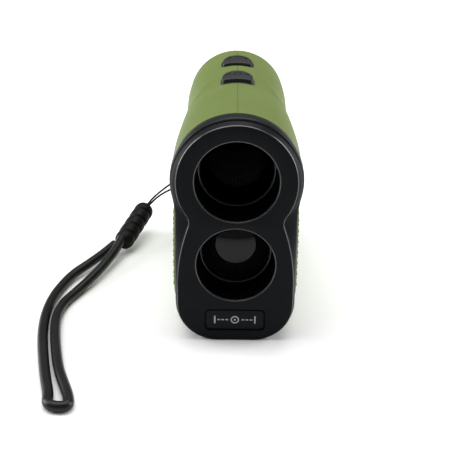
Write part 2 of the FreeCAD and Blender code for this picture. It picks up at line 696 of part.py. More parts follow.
def build_nodes():
    """Every separate piece, by its node's name."""
    left_shell, right_shell = shells()
    left_grip, right_grip = grips()
    front_prism = [(46.4, 48.2), (59.4, 48.2), (52.6, 65.6), (46.4, 65.6)]
    rear_prism = [(60.2, 48.2), (74.6, 48.2), (74.6, 65.6), (53.4, 65.6)]
    return {
        "left_shell": left_shell,
        "right_shell": right_shell,
        "left_grip": left_grip,
        "right_grip": right_grip,
        "shell_screws": shell_screws(),
        "front_bezel": front_bezel(),
        "front_collar": front_collar(),
        "label_plate": label_plate(),
        "objective_cell": objective_cell(),
        "objective_lens": lens(*OBJECTIVE_LENS, UPPER_AXIS),
        "objective_ring": retaining_ring(12.88, 12.0, BORE_DEPTH, OBJECTIVE_RING_REAR, UPPER_AXIS, -80),
        "receiver_cell": receiver_cell(),
        "receiver_lens": lens(*RECEIVER_LENS, LOWER_AXIS),
        "receiver_ring": retaining_ring(12.08, 11.3, BORE_DEPTH, RECEIVER_RING_REAR, LOWER_AXIS, -70),
        "detector": detector(),
        "laser_module": laser_module(),
        "prism_holder": prism_holder(),
        "front_prism": prism(front_prism),
        "rear_prism": prism(rear_prism),
        "display": display(),
        "eyepiece_tube": eyepiece_tube(),
        "lens_carrier": lens_carrier(),
        "field_lens": lens(*FIELD_LENS, UPPER_AXIS),
        "eye_lens": lens(*EYE_LENS, UPPER_AXIS),
        "diopter_ring": diopter_ring(),
        "eyecup": eyecup(),
        "chassis": chassis(),
        "main_board": main_board(),
        "board_screws": board_screws(),
        "key_board": key_board(),
        "mode_switch": key_switch(MODE_KEY_DEPTH),
        "measure_switch": key_switch(MEASURE_KEY_DEPTH),
        "flex_cable": flex_cable(),
        "key_gasket": key_gasket(),
        "mode_key": key(MODE_KEY_DEPTH),
        "measure_key": key(MEASURE_KEY_DEPTH),
        "battery_tube": battery_tube(),
        "front_contact": front_contact(),
        "battery": battery(),
        "battery_cap": battery_cap(),
        "cap_contact": cap_contact(),
        "cap_seal": cap_seal(),
        "tripod_insert": tripod_insert(),
        "strap_pin": strap_pin(),
        "strap_string": cord_tube("strap_string", STRING_ROUTE, STRING_DIAMETER),
        "strap_sleeve": strap_sleeve(),
        "wrist_loop": cord_tube("wrist_loop", LOOP_ROUTE, CORD_DIAMETER),
    }


os.makedirs("parts", exist_ok=True)
for name, shape in build_nodes().items():
    box = shape.BoundBox
    limits = (box.XMin, box.XMax, box.YMin, box.YMax, box.ZMin, box.ZMax)
    print("%-16s" % name, "solids", len(shape.Solids), "valid", shape.isValid(), "volume %.1f" % shape.Volume,
          " ".join("%.2f" % value for value in limits))
    shape.exportStep("parts/" + name + ".step")
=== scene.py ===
"""The looks of a handheld laser rangefinder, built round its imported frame. Metres throughout.

+X is to the right of its front face, -Y out of the front face, +Z up.
"""
import math

import bmesh
import bpy
from mathutils import Matrix, Vector


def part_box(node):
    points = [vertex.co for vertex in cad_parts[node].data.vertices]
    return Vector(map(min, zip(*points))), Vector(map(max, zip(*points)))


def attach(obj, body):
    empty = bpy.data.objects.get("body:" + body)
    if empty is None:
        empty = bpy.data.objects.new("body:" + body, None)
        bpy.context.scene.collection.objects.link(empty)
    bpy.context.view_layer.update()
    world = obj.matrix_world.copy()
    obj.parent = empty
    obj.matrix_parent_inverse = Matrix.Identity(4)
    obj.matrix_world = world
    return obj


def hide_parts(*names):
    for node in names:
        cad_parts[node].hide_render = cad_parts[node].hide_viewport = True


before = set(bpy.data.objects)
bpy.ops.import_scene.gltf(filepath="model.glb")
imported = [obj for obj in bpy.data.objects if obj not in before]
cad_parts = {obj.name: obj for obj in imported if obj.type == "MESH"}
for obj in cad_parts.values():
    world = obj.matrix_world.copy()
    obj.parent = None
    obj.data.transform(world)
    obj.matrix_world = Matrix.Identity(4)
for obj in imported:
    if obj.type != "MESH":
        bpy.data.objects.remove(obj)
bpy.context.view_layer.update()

scene = bpy.context.scene
MM = 0.001

# ------------------------------------------------------------------ floor, light and camera
# A pale seamless floor under a large overhead softbox, with two softer ones at the sides.
# The camera looks down on the front face from about a third of a metre.

front_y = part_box("front_bezel")[0].y


def at_depth(millimetres):
    """Y of a depth behind the front face."""
    return front_y + millimetres * MM


def spot(x, depth, z):
    """Place in the frame, from millimetres."""
    return (x * MM, at_depth(depth), z * MM)


camera_data = bpy.data.cameras.new("camera")
camera_data.sensor_width = 36.0
camera_data.lens = 78.3
camera = bpy.data.objects.new("camera", camera_data)
camera.matrix_world = (
    Matrix.Translation((-0.002, at_depth(-291), 0.174))
    @ Matrix.Rotation(math.radians(65.4), 4, "X")
    @ Matrix.Rotation(math.radians(0.74), 4, "Z")
)
scene.collection.objects.link(camera)
scene.camera = camera

scene.view_settings.view_transform = "Standard"
world = bpy.data.worlds.new("studio")
world.use_nodes = True
world.node_tree.nodes["Background"].inputs["Color"].default_value = (1.0, 1.0, 1.0, 1.0)
world.node_tree.nodes["Background"].inputs["Strength"].default_value = 0.26
scene.world = world


def softbox(name, place, target, width, height, power):
    """Rectangular area light at a place, facing a target."""
    light = bpy.data.lights.new(name, "AREA")
    light.shape = "RECTANGLE"
    light.size = width
    light.size_y = height
    light.energy = power
    holder = bpy.data.objects.new(name, light)
    facing = (Vector(target) - Vector(place)).to_track_quat("-Z", "Y")
    holder.matrix_world = Matrix.Translation(place) @ facing.to_matrix().to_4x4()
    scene.collection.objects.link(holder)
    return holder


middle = (0.0, 0.0, 0.03)
softbox("overhead", (-0.05, 0.12, 0.75), middle, 0.9, 0.7, 7.0)
softbox("left_side", (-0.75, 0.12, 0.3), middle, 0.4, 0.6, 5.6)
softbox("right_side", (0.75, 0.12, 0.3), middle, 0.4, 0.6, 4.8)


def link_mesh(name, mesh):
    piece = bpy.data.objects.new(name, mesh)
    scene.collection.objects.link(piece)
    return piece


floor_mesh = bpy.data.meshes.new("floor")
reach = 3.0
floor_mesh.from_pydata(
    [(-reach, -reach, 0), (reach, -reach, 0), (reach, reach, 0), (-reach, reach, 0)], [], [(0, 1, 2, 3)]
)
floor = link_mesh("floor", floor_mesh)
paper = bpy.data.materials.new("white_paper")
paper.use_nodes = True
paper_shader = paper.node_tree.nodes["Principled BSDF"]
paper_shader.inputs["Base Color"].default_value = (0.93, 0.93, 0.93, 1.0)
paper_shader.inputs["Roughness"].default_value = 0.9
paper_shader.inputs["Specular IOR Level"].default_value = 0.1
floor_mesh.materials.append(paper)

# ------------------------------------------------------------------ wrist loop and string
# The loop is round black rubber cord, doubled back on itself, lying on the floor.
# The string is a thin braided cord, looped round the lug pin and moulded into the sleeve.


def wire(tree, *rows):
    """Links nodes; each row is a node, its output, the next node and its input."""
    for source, output, target, entry in rows:
        tree.links.new(source.outputs[output], target.inputs[entry])


def moulded(name, colour, darker, roughness, grain, depth, specular=0.5, metallic=0.0, sheen=0.0):
    """Material with a fine surface grain, slow colour drift and uneven roughness.

    Colour drifts between colour and darker; grain is in grains per metre; depth is the grain's height.
    """
    material = bpy.data.materials.new(name)
    material.use_nodes = True
    tree = material.node_tree
    shader = tree.nodes["Principled BSDF"]
    shader.inputs["Metallic"].default_value = metallic
    shader.inputs["Specular IOR Level"].default_value = specular
    shader.inputs["Sheen Weight"].default_value = sheen
    shader.inputs["Sheen Roughness"].default_value = 0.4
    where = tree.nodes.new("ShaderNodeTexCoord")
    fine = tree.nodes.new("ShaderNodeTexNoise")
    fine.inputs["Scale"].default_value = grain
    fine.inputs["Detail"].default_value = 4.0
    slow = tree.nodes.new("ShaderNodeTexNoise")
    slow.inputs["Scale"].default_value = grain / 40
    slow.inputs["Detail"].default_value = 5.0
    ramp = tree.nodes.new("ShaderNodeValToRGB")
    ramp.color_ramp.elements[0].position = 0.3
    ramp.color_ramp.elements[0].color = (*darker, 1.0)
    ramp.color_ramp.elements[1].position = 0.7
    ramp.color_ramp.elements[1].color = (*colour, 1.0)
    spread = tree.nodes.new("ShaderNodeMapRange")
    spread.inputs["To Min"].default_value = roughness - 0.08
    spread.inputs["To Max"].default_value = roughness + 0.08
    bump = tree.nodes.new("ShaderNodeBump")
    bump.inputs["Strength"].default_value = 1.0
    bump.inputs["Distance"].default_value = depth
    wire(
        tree,
        (where, "Object", fine, "Vector"), (where, "Object", slow, "Vector"),
        (slow, "Fac", ramp, "Fac"), (ramp, "Color", shader, "Base Color"),
        (slow, "Fac", spread, "Value"), (spread, "Result", shader, "Roughness"),
        (fine, "Fac", bump, "Height"), (bump, "Normal", shader, "Normal"),
    )
    return material


def cord_curve(name, route, thickness, material):
    """Round cord along a smooth curve; the route is x, depth, z in millimetres."""
    data = bpy.data.curves.new(name, "CURVE")
    data.dimensions = "3D"
    data.bevel_depth = thickness / 2 * MM
    data.bevel_resolution = 8
    data.resolution_u = 16
    data.use_fill_caps = True
    spline = data.splines.new("NURBS")
    spline.points.add(len(route) - 1)
    for point, (x, depth, z) in zip(spline.points, route):
        point.co = (x * MM, at_depth(depth), z * MM, 1.0)
    spline.order_u = 3
    spline.use_endpoint_u = True
    data.materials.append(material)
    piece = bpy.data.objects.new(name, data)
    scene.collection.objects.link(piece)
    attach(piece, "casing")
    return piece


string_route = [
    (-36.4, 88.9, 10.9), (-34.6, 90.2, 12.9), (-32.2, 90.4, 15.3),
    (-28.6, 90.5, 18.3), (-24.2, 90.4, 21.8), (-21.6, 90.2, 23.4),
    (-19.8, 90.0, 23.6), (-18.8, 89.9, 22.2), (-19.5, 89.7, 20.6),
    (-21.8, 89.6, 20.1), (-26.6, 89.3, 17.9), (-31.0, 89.2, 15.4),
    (-34.2, 89.0, 12.4), (-36.8, 87.8, 9.9),
]
loop_route = [
    (-47.6, 66.3, 3.6), (-50.0, 61.1, 3.3), (-51.8, 57.4, 3.1),
    (-56.2, 49.2, 2.8), (-60.7, 42.5, 2.2), (-63.6, 33.5, 1.8),
    (-65.3, 24.7, 1.77), (-65.8, 13.3, 1.77), (-64.8, 1.6, 1.77),
    (-63.0, -8.6, 1.77), (-60.8, -19.0, 1.77), (-58.7, -28.0, 1.77),
    (-56.5, -35.9, 1.77), (-55.9, -42.3, 1.77), (-49.4, -42.9, 1.77),
    (-50.1, -37.5, 1.77), (-52.6, -30.5, 1.77), (-55.3, -23.1, 1.77),
    (-57.6, -13.8, 1.77), (-59.8, -3.1, 1.77), (-61.3, 6.4, 1.77),
    (-61.7, 14.4, 1.77), (-60.6, 21.7, 1.77), (-58.0, 28.0, 1.85),
    (-54.4, 35.8, 2.5), (-51.1, 43.6, 3.3), (-48.2, 51.3, 4.3),
    (-45.8, 59.2, 5.4), (-44.6, 65.7, 6.4),
]
loop_rubber = moulded(
    "loop_rubber", (0.005, 0.005, 0.0055), (0.003, 0.003, 0.0032), 0.36, 4000, 0.00002, 0.25
)
braid = moulded("string_braid", (0.008, 0.008, 0.008), (0.003, 0.003, 0.003), 0.7, 6000, 0.00005, 0.2)
wrist_loop = cord_curve("wrist_loop_cord", loop_route, 3.5, loop_rubber)
strap_string = cord_curve("strap_string_cord", string_route, 0.8, braid)
for cord, cord_node, cord_slot in (
    (wrist_loop, "wrist_loop", "loop_black"), (strap_string, "strap_string", "string_black"),
):
    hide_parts(cord_node)

# ------------------------------------------------------------------ strap sleeve
# A moulded rubber sleeve with five round ribs, shrunk over the ends of the loop and the string.
# The rib shape is turned about the sleeve's own axis.


def eased(points, radius, steps=3, closed=True):
    """Outline with its corners rounded; points are pairs."""
    count = len(points)
    result = []
    for index, corner in enumerate(points):
        here = Vector(corner)
        if not closed and index in (0, count - 1):
            result.append(tuple(here))
            continue
        before = Vector(points[index - 1]) - here
        after = Vector(points[(index + 1) % count]) - here
        reach_back = min(radius, before.length * 0.45)
        reach_on = min(radius, after.length * 0.45)
        start = here + before.normalized() * reach_back
        end = here + after.normalized() * reach_on
        for step in range(steps + 1):
            share = step / steps
            bend = start * (1 - share) ** 2 + here * 2 * share * (1 - share) + end * share ** 2
            result.append(tuple(bend))
    return result


def drawn_mesh(name, build, turn_out=True):
    """Object holding a bmesh, with its faces turned outward."""
    if turn_out:
        bmesh.ops.recalc_face_normals(build, faces=build.faces)
    mesh = bpy.data.meshes.new(name)
    build.to_mesh(mesh)
    build.free()
    return link_mesh(name, mesh)


def finish(piece, material, body, slot_name, replaced=(), sharp=40):
    """Smooth shading, material and body of a piece, and the nodes it stands for; slot_name is not used."""
    piece.data.shade_smooth()
    piece.data.set_sharp_from_angle(angle=math.radians(sharp))
    piece.data.materials.append(material)
    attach(piece, body)
    if replaced:
        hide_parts(*replaced)
    return piece


def finish_mesh(name, build, *look, **more):
    """Turns a bmesh into a finished piece."""
    return finish(drawn_mesh(name, build), *look, **more)


def turned(build, profile, axis_z, closed=True, steps=96):
    """Adds a turned shape about a Y-parallel axis; the profile is radius, depth in millimetres."""
    rings = []
    for radius, depth in profile:
        if radius < 1e-6:
            rings.append([build.verts.new((0.0, at_depth(depth), axis_z))])
            continue
        ring = []
        for step in range(steps):
            turn = math.tau * step / steps
            x = radius * MM * math.cos(turn)
            z = axis_z + radius * MM * math.sin(turn)
            ring.append(build.verts.new((x, at_depth(depth), z)))
        rings.append(ring)
    pairs = list(zip(rings, rings[1:]))
    if closed:
        pairs.append((rings[-1], rings[0]))
    for first, second in pairs:
        join_rings(build, first, second)


def join_rings(build, first, second):
    """Faces between two closed rings, either of which may be a single point."""
    count = max(len(first), len(second))
    if count == 1:
        return
    for step in range(count):
        ahead = (step + 1) % count
        corners = [first[step % len(first)], first[ahead % len(first)]]
        corners += [second[ahead % len(second)], second[step % len(second)]]
        unique = list(dict.fromkeys(corners))
        if len(unique) > 2:
            build.faces.new(unique)


sleeve_foot = Vector(spot(-44.6, 65.2, 4.2))
sleeve_top = Vector(spot(-36.7, 88.3, 10.2))
sleeve_axis = sleeve_top - sleeve_foot
sleeve_length = sleeve_axis.length / MM
sleeve_ribs = 5
sleeve_build = bmesh.new()
sleeve_profile = [(0.0, 0.0)]
rib_steps = 14
for rib in range(sleeve_ribs):
    pitch = sleeve_length / sleeve_ribs
    for step in range(rib_steps):
        share = step / rib_steps
        swell = math.sqrt(max(0.0, 1 - (2 * share - 1) ** 4))
        radius = 3.2 + 0.68 * swell
        if rib in (0, sleeve_ribs - 1):
            outward = share if rib == sleeve_ribs - 1 else 1 - share
            radius *= math.sqrt(max(0.0, 1 - 0.75 * outward ** 4))
        sleeve_profile.append((radius, (rib + share) * pitch))
sleeve_profile.append((0.0, sleeve_length))
turned(sleeve_build, sleeve_profile, 0.0, closed=False, steps=48)
lay_down = sleeve_axis.to_track_quat("Y", "Z").to_matrix().to_4x4()
shift_to_origin = Matrix.Translation((0, -at_depth(0), 0))
move_sleeve = Matrix.Translation(sleeve_foot) @ lay_down @ shift_to_origin
bmesh.ops.transform(sleeve_build, matrix=move_sleeve, verts=sleeve_build.verts)
sleeve_rubber = moulded(
    "sleeve_rubber", (0.004, 0.004, 0.0045), (0.0025, 0.0025, 0.003), 0.5, 5000, 0.00003, 0.12
)
sleeve = finish_mesh("sleeve", sleeve_build, sleeve_rubber, "casing", "sleeve_rubber", ["strap_sleeve"], 60)

# ------------------------------------------------------------------ green casing halves
# Two moulded shells that meet on the middle plane, with a scooped saddle for the forefinger.
# The skin is drawn row by row along the depth, given its wall, and cut for keys and tubes.

UPPER_AXIS = (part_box("objective_cell")[0].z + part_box("objective_cell")[1].z) / 2
LOWER_AXIS = (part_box("detector")[0].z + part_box("detector")[1].z) / 2
BATTERY_AXIS = (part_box("battery_tube")[0].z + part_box("battery_tube")[1].z) / 2
WAIST = 42.8
HIP = 20.0


def arc_points(centre, radius, start, end, count):
    """Points on a circle between two angles, without the last one."""
    result = []
    for step in range(count):
        turn = start + (end - start) * step / count
        result.append((centre[0] + radius * math.cos(turn), centre[1] + radius * math.sin(turn)))
    return result


def half_outline(lobe, top, waist, foot, inset=0.0, base=0.0, corner=13.2):
    """Right half of the casing's figure-of-eight, from the middle of the underside to the top.

    The flank is an upper circle, a hollow arc at the waist and a slack lower arc, each tangent
    to the next. Pairs of x and z in millimetres.
    """
    lobe, top, waist, foot, corner = (value - inset for value in (lobe, top, waist, foot, corner))
    base += inset
    centre = top - lobe
    rise = centre - WAIST
    hollow = (waist ** 2 + rise ** 2 - lobe ** 2) / (2 * (lobe - waist))
    hollow_x = waist + hollow
    drop = WAIST - HIP
    offset = hollow_x - foot
    slack = (offset ** 2 + drop ** 2 - hollow ** 2) / (2 * (hollow - offset))
    slack_x = foot - slack
    lower_turn = math.atan2(drop, hollow_x - slack_x)
    upper_turn = math.atan2(-rise, hollow_x)
    points = [(share * (foot - corner) / 6, base) for share in range(6)]
    points += arc_points((foot - corner, base + corner), corner, -math.pi / 2, 0, 14)
    points += [(foot, base + corner + (HIP - base - corner) * share / 4) for share in range(4)]
    points += arc_points((slack_x, HIP), slack, 0, lower_turn, 14)
    points += arc_points((hollow_x, WAIST), hollow, lower_turn - math.pi, -math.pi + upper_turn, 12)
    points += arc_points((0, centre), lobe, upper_turn, math.pi / 2, 44)
    points.append((0.0, top))
    return points


# Depth, upper lobe radius, top height, waist and foot half widths of the green skin.
SKIN = [
    (9.2, 21.3, 76.9, 19.9, 20.0),
    (24.0, 21.1, 77.0, 19.8, 20.0),
    (40.0, 20.1, 76.5, 19.05, 19.8),
    (52.0, 19.1, 75.8, 18.2, 19.35),
    (64.0, 18.6, 75.3, 17.8, 19.0),
    (82.0, 18.8, 75.4, 17.9, 19.0),
    (91.0, 18.4, 75.1, 17.5, 18.6),
    (98.0, 18.2, 74.6, 17.3, 18.4),
]
SKIN_REAR = 98.0
REAR_ROUND = 4.0


def skin_sizes(depth):
    """Outline sizes at a depth, on a smooth curve through the sections."""
    last = len(SKIN) - 2
    index = max(0, min(last, sum(1 for row in SKIN if row[0] <= depth) - 1))
    here, there = SKIN[index], SKIN[index + 1]
    before, after = SKIN[max(index - 1, 0)], SKIN[min(index + 2, last + 1)]
    span = there[0] - here[0]
    share = (depth - here[0]) / span
    sizes = []
    for column in range(1, 5):
        slope_here = (there[column] - before[column]) / (there[0] - before[0]) * span
        slope_there = (after[column] - here[column]) / (after[0] - here[0]) * span
        sizes.append(
            here[column] * (2 * share ** 3 - 3 * share ** 2 + 1)
            + slope_here * (share ** 3 - 2 * share ** 2 + share)
            + there[column] * (3 * share ** 2 - 2 * share ** 3)
            + slope_there * (share ** 3 - share ** 2)
        )
    return sizes


def rear_inset(depth):
    """How far the skin draws in towards the rounded rear edge."""
    over = max(0.0, depth - (SKIN_REAR - REAR_ROUND)) / REAR_ROUND
    return 2.6 * (1 - math.sqrt(max(0.0, 1 - over ** 2)))


def saddle_drop(depth, x, z, centre):
    """Depth of the forefinger saddle: a straight front crease and an arched rear one."""
    lean = abs(math.atan2(x, z - centre)) / math.radians(56)
    if z < centre or lean >= 1:
        return 0.0
    front_crease = 40.0
    rear_crease = 47.0 + 18.0 * (1 - lean ** 2)
    share = (depth - front_crease) / (rear_crease - front_crease)
    if not 0 < share < 1:
        return 0.0
    return 1.15 * math.sin(math.pi * share) ** 0.8 * (1 - lean ** 3)


def skin_row(depth, outward=0.0):
    """Points of the skin's right half at a depth, with its middle edges slightly broken."""
    lobe, top, waist, foot = skin_sizes(depth)
    inset = rear_inset(depth) - outward
    row = half_outline(lobe, top, waist, foot, inset, base=outward)
    centre = top - lobe
    result = []
    for x, z in row:
        drop = saddle_drop(depth, x, z, centre)
        reach = math.hypot(x, z - centre) or 1.0
        result.append((x * (1 - drop / reach), centre + (z - centre) * (1 - drop / reach)))
    under_z = result[0][1]
    crest_z = result[-1][1]
    seam_break = 0.09
    result[0:1] = [(0.02, under_z + seam_break), (0.12, under_z)]
    result[-1:] = [(0.12, crest_z), (0.02, crest_z - seam_break)]
    return result


def grid_faces(build, rows):
    """Faces between neighbouring rows of vertices."""
    for lower, upper in zip(rows, rows[1:]):
        for left, right, far_right, far_left in zip(lower, lower[1:], upper[1:], upper):
            build.faces.new((left, right, far_right, far_left))


def half_shell(side):
    """Bmesh of one casing half's outer skin, with its flat rear; side is 1 for +X, -1 for -X."""
    build = bmesh.new()
    rows = []
    depths = [9.2 + 0.6 * step for step in range(142)]
    depths += [SKIN_REAR - REAR_ROUND * (1 - math.sin(math.pi / 2 * step / 10)) for step in range(1, 11)]
    for depth in depths:
        rows.append([build.verts.new(spot(side * x, depth, z)) for x, z in skin_row(depth)])
    for share in (0.08, 0.4, 0.7, 0.995):
        row = []
        for x, z in skin_row(SKIN_REAR):
            drawn = x * (1 - share)
            row.append(build.verts.new((side * max(drawn, 0.03) * MM, at_depth(SKIN_REAR), z * MM)))
        rows.append(row)
    grid_faces(build, rows)
    bmesh.ops.remove_doubles(build, verts=build.verts, dist=0.000002)
    bmesh.ops.recalc_face_normals(build, faces=build.faces)
    outward = sum(face.normal.x * face.calc_area() for face in build.faces)
    if outward * side < 0:
        bmesh.ops.reverse_faces(build, faces=build.faces)
    return build


def key_outline(grow, half=5.7, length=10.8, corner=1.4):
    """A key's outline about its middle: straight towards the front, half round behind."""
    half += grow
    corner += grow
    front = -length / 2 - grow
    centre = length / 2 - (half - grow)
    points = arc_points((half - corner, front + corner), corner, -math.pi / 2, 0, 6)
    points += [(half, front + corner + (centre - front - corner) * share / 4) for share in range(4)]
    points += arc_points((0, centre), half, 0, math.pi, 28)
    points += [(-half, centre + (front + corner - centre) * share / 4) for share in range(4)]
    points += arc_points((corner - half, front + corner), corner, math.pi, math.pi * 1.5, 6)
    points += [(corner - half + (2 * half - 2 * corner) * share / 10, front) for share in range(10)]
    return points


def stacked(build, rings, cap_ends=True):
    """Joins closed rings of places, given as lists of three coordinates, and caps both ends."""
    made = [[build.verts.new(place) for place in ring] for ring in rings]
    for first, second in zip(made, made[1:]):
        join_rings(build, first, second)
    if cap_ends:
        build.faces.new(made[0])
        build.faces.new(made[-1])
    return made


def round_bar(build, radius, middle, axis, length, steps=48):
    """Closed cylinder in millimetres: middle is x, depth, z; axis is 'x', 'y' or 'z'."""
    rings = []
    for end in (-0.5, 0.5):
        ring = []
        for step in range(steps):
            turn = math.tau * step / steps
            a, b, along = radius * math.cos(turn), radius * math.sin(turn), length * end
            offset = {"x": (along, a, b), "y": (a, along, b), "z": (a, b, along)}[axis]
            x, depth, z = (value + shift for value, shift in zip(middle, offset))
            ring.append(spot(x, depth, z))
        rings.append(ring)
    stacked(build, rings)


MODE_KEY = 55.2
MEASURE_KEY = 76.4
shell_cutters = bmesh.new()
for key_depth in (MODE_KEY, MEASURE_KEY):
    well = [[spot(x, key_depth + y, z) for x, y in key_outline(0.3)] for z in (66, 80)]
    stacked(shell_cutters, well)
round_bar(shell_cutters, 12.05, (0, 97, UPPER_AXIS / MM), "y", 6, 96)
round_bar(shell_cutters, 9.65, (0, 97, BATTERY_AXIS / MM), "y", 6, 96)
round_bar(shell_cutters, 5.02, (0, 44, 1), "z", 4)
for screw_depth, screw_height in ((84.0, 7.5), (91.0, 37.0)):
    round_bar(shell_cutters, 2.1, (17, screw_depth, screw_height), "x", 8, 32)
cutter = drawn_mesh("shell_cutters", shell_cutters)


def settled(piece):
    """Plain mesh of a piece with its modifiers applied; the modifiers are removed."""
    bpy.context.view_layer.update()
    result = bpy.data.meshes.new_from_object(piece.evaluated_get(bpy.context.evaluated_depsgraph_get()))
    piece.modifiers.clear()
    piece.data = result
    return piece


def carved(piece, cutter):
    """Piece with a cutter's shape taken away, left without materials."""
    cut = piece.modifiers.new("cut", "BOOLEAN")
    cut.object = cutter
    cut.operation = "DIFFERENCE"
    cut.solver = "EXACT"
    settled(piece).data.materials.clear()
    return piece


green = moulded("green_casing", (0.126, 0.168, 0.045), (0.116, 0.157, 0.040), 0.5, 3500, 0.00002, 0.18)
for side, shell_name in ((-1, "left_shell"), (1, "right_shell")):
    shell = drawn_mesh(shell_name + "_skin", half_shell(side), turn_out=False)
    wall = shell.modifiers.new("wall", "SOLIDIFY")
    wall.thickness = 1.7 * MM
    wall.offset = -1
    finish(carved(shell, cutter), green, "casing", "green_shell", [shell_name], 28)
bpy.data.objects.remove(cutter)

# ------------------------------------------------------------------ side grips
# Two pads let into the flanks, moulded in the casing's colour. Each stands a little proud, with
# a rounded border and staggered rows of low round studs, laid by Geometry Nodes.

GRIP_FRONT, GRIP_REAR, GRIP_FOOT, GRIP_HEAD, GRIP_CORNER = 12.0, 76.0, 5.0, 43.0, 5.0
GRIP_RISE = 0.85
STUD_PITCH = 2.0
grip_green = moulded("green_grip", (0.118, 0.160, 0.041), (0.106, 0.146, 0.036), 0.55, 3000, 0.00003, 0.18)


def flank_width(depth, height):
    """Half width of the skin at a depth and height below the waist."""
    row = half_outline(*skin_sizes(depth))
    for (x, z), (next_x, next_z) in zip(row, row[1:]):
        if z <= height <= next_z and next_z > z:
            return x + (next_x - x) * (height - z) / (next_z - z)
    return row[-1][0]


def corner_pull(height):
    """How far the pad's ends draw in at a height, for its rounded corners."""
    edge = min(height - GRIP_FOOT, GRIP_HEAD - height)
    return GRIP_CORNER - math.sqrt(max(0.0, GRIP_CORNER ** 2 - max(0.0, GRIP_CORNER - edge) ** 2))


def instance_tree(name, inputs):
    """Geometry Nodes tree with named inputs; gives the tree, its input node and the sockets' keys."""
    tree = bpy.data.node_groups.new(name, "GeometryNodeTree")
    tree.interface.new_socket("Geometry", in_out="OUTPUT", socket_type="NodeSocketGeometry")
    keys = {}
    for label, kind in inputs.items():
        socket = tree.interface.new_socket(label, in_out="INPUT", socket_type="NodeSocket" + kind)
        keys[label] = socket.identifier
    return tree, tree.nodes.new("NodeGroupInput"), keys


def follow(tree, start, *node_kinds):
    """Chains nodes that pass geometry on after an output; gives them in order."""
    made = []
    for kind in node_kinds:
        node = tree.nodes.new(kind)
        tree.links.new(start, node.inputs["Geometry"])
        start = node.outputs["Geometry"]
        made.append(node)
    return made


END_OF_TREE = ("GeometryNodeRealizeInstances", "GeometryNodeSetShadeSmooth", "GeometryNodeSetMaterial")


def end_tree(tree, start, material):
    """Real geometry, shaded smooth and painted, to the tree's output."""
    paint = follow(tree, start, *END_OF_TREE)[-1]
    paint.inputs["Material"].default_value = material
    tree.links.new(paint.outputs["Geometry"], tree.nodes.new("NodeGroupOutput").inputs["Geometry"])


def run_tree(holder, tree, values):
    """Plain mesh of a holder after a tree with the given input values."""
    modifier = holder.modifiers.new("repeats", "NODES")
    modifier.node_group = tree
    for key, value in values.items():
        modifier[key] = value
    return settled(holder)


def studs_on(name, places, radius, height, material):
    """Low domes on places, flattened along X, as a plain mesh."""
    inputs = {"Geometry": "Geometry", "Stud Radius": "Float", "Flatness": "Vector"}
    tree, given, keys = instance_tree(name, inputs)
    ball = tree.nodes.new("GeometryNodeMeshUVSphere")
    ball.inputs["Segments"].default_value = 10
    ball.inputs["Rings"].default_value = 6
    flatten = follow(tree, ball.outputs["Mesh"], "GeometryNodeTransform")[0]
    lay = tree.nodes.new("GeometryNodeInstanceOnPoints")
    wire(
        tree,
        (given, "Stud Radius", ball, "Radius"), (given, "Flatness", flatten, "Scale"),
        (given, "Geometry", lay, "Points"), (flatten, "Geometry", lay, "Instance"),
    )
    end_tree(tree, lay.outputs["Instances"], material)
    points = bpy.data.meshes.new(name)
    points.from_pydata(places, [], [])
    values = {keys["Stud Radius"]: radius * MM, keys["Flatness"]: (height / radius, 1.0, 1.0)}
    return run_tree(link_mesh(name, points), tree, values)


GRIP_COLUMNS = 96
GRIP_ROWS = 64
for side, side_name in ((-1, "left"), (1, "right")):
    grip_build = bmesh.new()
    rows = []
    for row in range(GRIP_ROWS + 1):
        height = GRIP_FOOT + (GRIP_HEAD - GRIP_FOOT) * (1 - math.cos(math.pi * row / GRIP_ROWS)) / 2
        pull = corner_pull(height)
        verts = []
        for column in range(GRIP_COLUMNS + 1):
            share = (1 - math.cos(math.pi * column / GRIP_COLUMNS)) / 2
            depth = GRIP_FRONT + pull + (GRIP_REAR - GRIP_FRONT - 2 * pull) * share
            rim = min(height - GRIP_FOOT, GRIP_HEAD - height, depth - GRIP_FRONT, GRIP_REAR - depth)
            rim = min(rim, depth - GRIP_FRONT - pull, GRIP_REAR - pull - depth)
            shoulder = math.sqrt(max(0.0, 1 - max(0.0, 1 - rim / 1.1) ** 2))
            x = flank_width(depth, height) - 0.3 + (GRIP_RISE + 0.3) * shoulder
            verts.append(grip_build.verts.new(spot(side * x, depth, height)))
        rows.append(verts)
    grid_faces(grip_build, rows)
    border = [edge for edge in grip_build.edges if edge.is_boundary]
    drawn = bmesh.ops.extrude_edge_only(grip_build, edges=border)
    for vert in (item for item in drawn["geom"] if isinstance(item, bmesh.types.BMVert)):
        vert.co.x -= side * 1.2 * MM
    bmesh.ops.holes_fill(grip_build, edges=[edge for edge in grip_build.edges if edge.is_boundary], sides=0)
    pad_name = side_name + "_grip"
    finish_mesh(pad_name + "_pad", grip_build, grip_green, "casing", "green_grip", [pad_name], 50)
    places = []
    stud_rows = int((GRIP_HEAD - GRIP_FOOT) / STUD_PITCH)
    stud_columns = int((GRIP_REAR - GRIP_FRONT) / STUD_PITCH)
    for row in range(stud_rows):
        height = GRIP_FOOT + STUD_PITCH * (row + 0.5)
        pull = corner_pull(height)
        for column in range(stud_columns):
            depth = GRIP_FRONT + STUD_PITCH * (column + 0.25 + 0.5 * (row % 2))
            rim = min(height - GRIP_FOOT, GRIP_HEAD - height)
            rim = min(rim, depth - GRIP_FRONT - pull, GRIP_REAR - pull - depth)
            if rim > 2.4 and height > 12.5:
                x = flank_width(depth, height) + GRIP_RISE
                places.append(spot(side * x, depth, height))
    studs = studs_on(side_name + "_grip_studs", places, 0.72, 0.42, grip_green)
    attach(studs, "casing")

